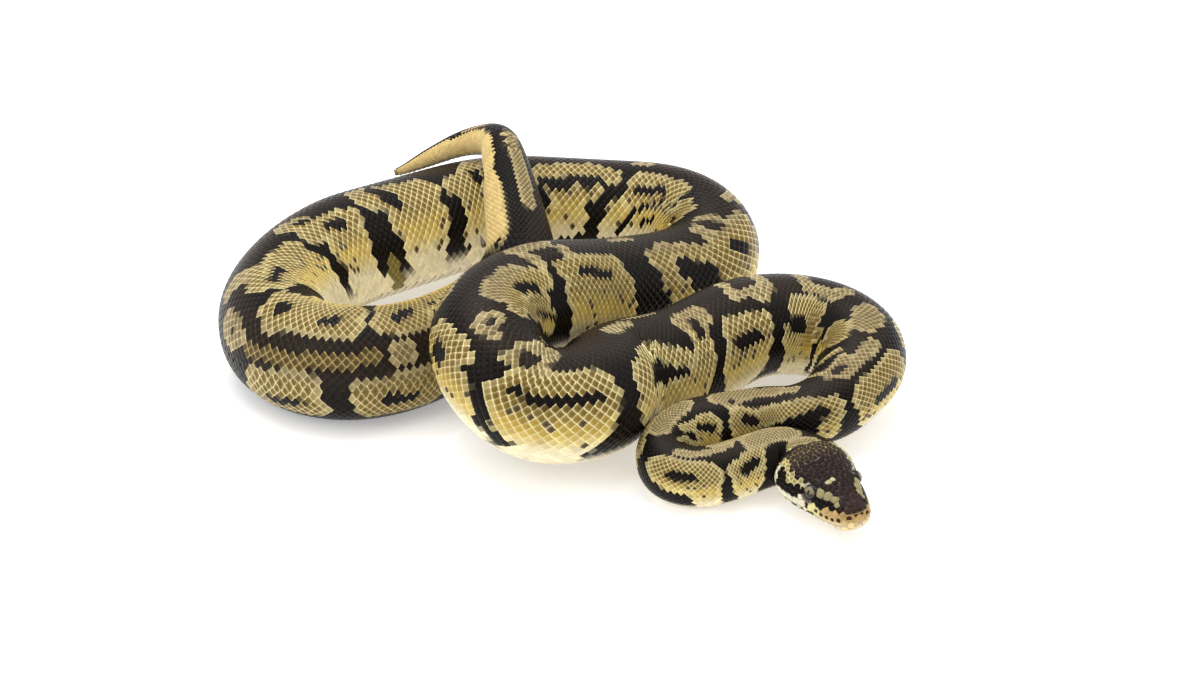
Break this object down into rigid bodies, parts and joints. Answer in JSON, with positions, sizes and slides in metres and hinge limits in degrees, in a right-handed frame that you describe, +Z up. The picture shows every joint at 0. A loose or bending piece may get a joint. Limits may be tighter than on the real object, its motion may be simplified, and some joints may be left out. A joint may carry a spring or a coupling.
{
  "type": "coiled ball python",
  "caption": "Ball python lying in a flat double coil, with its head out at one front corner and its tail over the top, as a still life-size museum model.",
  "frame": {"origin": "middle of the box's underside, on the floor the snake lies on", "axes": "+X towards the side where the head lies, along the coil's longest side; -Y towards the snout and the viewer; +Z up"},
  "size_m": [0.2558, 0.2186, 0.0644],
  "materials": {
    "skin": "dry satin scales, dark brown with golden and buff blotches",
    "eye": "wet gloss, grey-olive iris with a black slit pupil",
    "claw": "dark satin horn"
  },
  "bodies": {
    "root": {"head": "skin", "lower_jaw": "skin", "eye_left": "eye", "eye_right": "eye", "neck_1": "skin", "neck_2": "skin", "neck_3": "skin", "trunk_01": "skin", "trunk_02": "skin", "trunk_03": "skin", "trunk_04": "skin", "trunk_05": "skin", "trunk_06": "skin", "trunk_07": "skin", "trunk_08": "skin", "trunk_09": "skin", "trunk_10": "skin", "trunk_11": "skin", "trunk_12": "skin", "trunk_13": "skin", "trunk_14": "skin", "trunk_15": "skin", "tail_1": "skin", "tail_2": "skin", "spur_left": "claw", "spur_right": "claw"}
  },
  "joints": []
}
